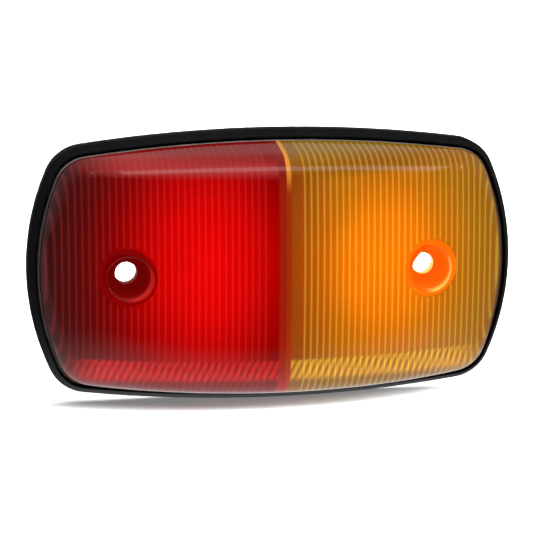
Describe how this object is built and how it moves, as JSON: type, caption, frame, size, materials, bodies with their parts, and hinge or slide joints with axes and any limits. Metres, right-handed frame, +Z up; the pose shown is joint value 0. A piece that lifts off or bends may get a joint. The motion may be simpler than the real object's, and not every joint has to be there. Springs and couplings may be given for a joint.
{
  "type": "trailer marker lamp",
  "caption": "Two-colour surface-mount marker lamp: black housing, welded red and amber fluted lens with two screw wells, and a festoon bulb in each half.",
  "frame": {"origin": "centre of the rear mounting face, midway between the two screw holes", "axes": "+X along the lamp towards the amber end, +Y out of the rear face into the mounting surface, +Z up; the lens faces -Y"},
  "size_m": [0.102, 0.0205, 0.0568],
  "materials": {
    "housing_black": "fine matt moulded black ABS",
    "gasket_foam": "closed-cell black foam rubber",
    "rubber_black": "smooth black rubber",
    "seal_rubber": "soft grey silicone rubber",
    "reflector_white": "satin white moulded plastic",
    "steel": "zinc-plated, satin",
    "brass": "stamped spring brass, satin",
    "lens_red": "polished transparent red acrylic, fluted inside",
    "lens_amber": "polished transparent amber acrylic, fluted inside",
    "divider_grey": "matt dark grey plastic",
    "bulb_glass": "clear drawn glass",
    "nickel_cap": "nickel-plated brass",
    "filament": "coiled tungsten wire"
  },
  "bodies": {
    "housing": {"base_housing": "housing_black", "mounting_gasket": "gasket_foam", "cable_grommet": "rubber_black", "lens_seal": "seal_rubber", "screw_seals": "seal_rubber", "reflector_tray": "reflector_white", "tray_screws": "steel", "red_feed_strip": "brass", "amber_feed_strip": "brass", "earth_strip": "brass", "strip_rivets": "steel", "terminal_clamps": "steel", "terminal_screws": "steel"},
    "lens": {"lens_red": "lens_red", "lens_amber": "lens_amber", "light_divider": "divider_grey"},
    "red_bulb": {"red_bulb_glass": "bulb_glass", "red_bulb_upper_cap": "nickel_cap", "red_bulb_lower_cap": "nickel_cap", "red_bulb_filament": "filament"},
    "amber_bulb": {"amber_bulb_glass": "bulb_glass", "amber_bulb_upper_cap": "nickel_cap", "amber_bulb_lower_cap": "nickel_cap", "amber_bulb_filament": "filament"},
    "red_upper_blade": {"red_upper_contact": "brass"},
    "red_lower_blade": {"red_lower_contact": "brass"},
    "amber_upper_blade": {"amber_upper_contact": "brass"},
    "amber_lower_blade": {"amber_lower_contact": "brass"}
  },
  "joints": [
    {"name": "lens_lift", "type": "slide", "parent": "housing", "child": "lens", "axis": [0, -1, 0], "range_m": [0, 0.045]},
    {"name": "red_bulb_spin", "type": "hinge", "parent": "housing", "child": "red_bulb", "pos_m": [-0.015, -0.0122, 0], "axis": [0, 0, 1], "continuous": true},
    {"name": "amber_bulb_spin", "type": "hinge", "parent": "housing", "child": "amber_bulb", "pos_m": [0.015, -0.0122, 0], "axis": [0, 0, 1], "continuous": true},
    {"name": "red_upper_contact_flex", "type": "hinge", "parent": "housing", "child": "red_upper_blade", "pos_m": [-0.015, -0.0037, 0.01485], "axis": [-1, 0, 0], "range_deg": [0, 8], "stiffness_Nm_per_rad": 0.002},
    {"name": "red_lower_contact_flex", "type": "hinge", "parent": "housing", "child": "red_lower_blade", "pos_m": [-0.015, -0.0037, -0.01485], "axis": [1, 0, 0], "range_deg": [0, 8], "stiffness_Nm_per_rad": 0.002},
    {"name": "amber_upper_contact_flex", "type": "hinge", "parent": "housing", "child": "amber_upper_blade", "pos_m": [0.015, -0.0037, 0.01485], "axis": [-1, 0, 0], "range_deg": [0, 8], "stiffness_Nm_per_rad": 0.002},
    {"name": "amber_lower_contact_flex", "type": "hinge", "parent": "housing", "child": "amber_lower_blade", "pos_m": [0.015, -0.0037, -0.01485], "axis": [1, 0, 0], "range_deg": [0, 8], "stiffness_Nm_per_rad": 0.002}
  ]
}
